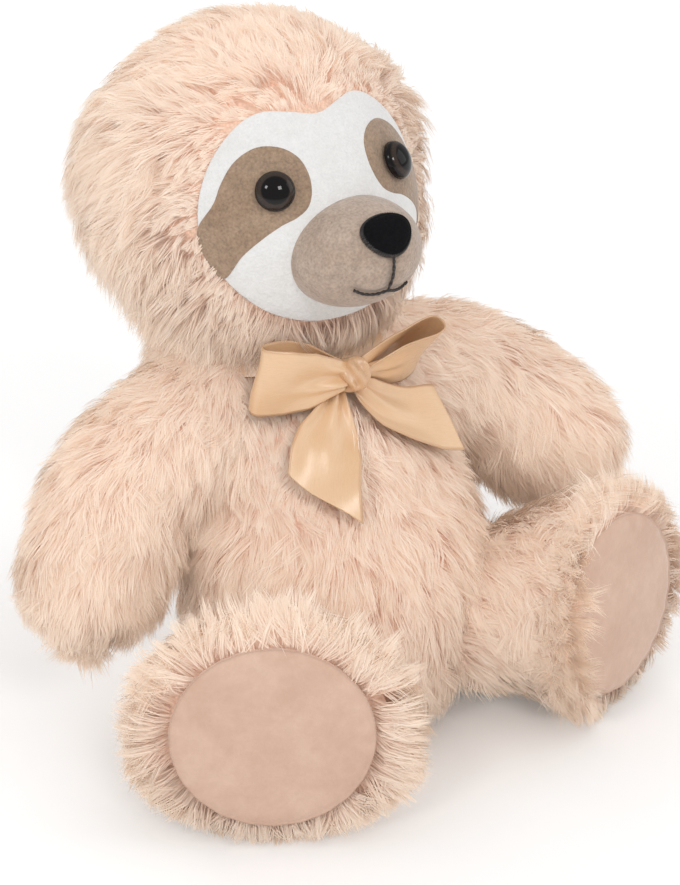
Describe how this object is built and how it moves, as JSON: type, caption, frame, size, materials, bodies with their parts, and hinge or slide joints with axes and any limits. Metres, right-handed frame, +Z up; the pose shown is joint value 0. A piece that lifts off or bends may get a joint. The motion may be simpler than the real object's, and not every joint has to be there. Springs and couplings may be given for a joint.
{
  "type": "plush sloth",
  "caption": "Seated plush sloth with long fur, a sewn two-tone face, safety eyes, suede foot soles and a satin ribbon bow at the neck.",
  "frame": {"origin": "middle of the flat seat, on the floor", "axes": "+Z up, the toy faces -Y, and its own left is +X"},
  "size_m": [0.2954, 0.2505, 0.3008],
  "materials": {
    "fur": "matte",
    "white_minky": "matte",
    "taupe_minky": "matte",
    "muzzle_minky": "matte",
    "nose_velour": "matte",
    "mouth_thread": "satin",
    "eye_plastic": "gloss",
    "washer_plastic": "satin",
    "stuffing": "matte",
    "sole_suede": "matte",
    "satin": "satin"
  },
  "bodies": {
    "torso": {"torso_skin": "fur", "torso_stuffing": "stuffing", "ribbon_band": "satin", "bow_knot": "satin", "bow_loop_left": "satin", "bow_loop_right": "satin", "bow_tail_left": "satin", "bow_tail_right": "satin"},
    "head": {"head_skin": "fur", "head_stuffing": "stuffing", "face_panel": "white_minky", "eye_patch_left": "taupe_minky", "eye_patch_right": "taupe_minky", "eye_left": "eye_plastic", "eye_right": "eye_plastic", "eye_washer_left": "washer_plastic", "eye_washer_right": "washer_plastic", "muzzle": "muzzle_minky", "nose": "nose_velour", "mouth_stitching": "mouth_thread"},
    "arm_left": {"arm_left_skin": "fur", "arm_left_stuffing": "stuffing"},
    "arm_right": {"arm_right_skin": "fur", "arm_right_stuffing": "stuffing"},
    "leg_left": {"leg_left_skin": "fur", "leg_left_stuffing": "stuffing", "sole_left": "sole_suede"},
    "leg_right": {"leg_right_skin": "fur", "leg_right_stuffing": "stuffing", "sole_right": "sole_suede"}
  },
  "joints": [
    {"name": "head_turn", "type": "hinge", "parent": "torso", "child": "head", "pos_m": [0, 0.042, 0.168], "axis": [0, 0.2983, 0.9545], "range_deg": [-25, 25], "stiffness_Nm_per_rad": 0.06},
    {"name": "arm_left_raise", "type": "hinge", "parent": "torso", "child": "arm_left", "pos_m": [0.052, 0.034, 0.13], "axis": [0, -1, 0], "range_deg": [0, 40], "stiffness_Nm_per_rad": 0.02},
    {"name": "arm_right_raise", "type": "hinge", "parent": "torso", "child": "arm_right", "pos_m": [-0.052, 0.034, 0.13], "axis": [0, 1, 0], "range_deg": [0, 45], "stiffness_Nm_per_rad": 0.02},
    {"name": "leg_left_lift", "type": "hinge", "parent": "torso", "child": "leg_left", "pos_m": [0.046, -0.04, 0.044], "axis": [-0.7071, -0.7071, 0], "range_deg": [0, 12], "stiffness_Nm_per_rad": 0.03},
    {"name": "leg_right_lift", "type": "hinge", "parent": "torso", "child": "leg_right", "pos_m": [-0.046, -0.04, 0.044], "axis": [-0.7071, 0.7071, 0], "range_deg": [0, 12], "stiffness_Nm_per_rad": 0.03}
  ]
}
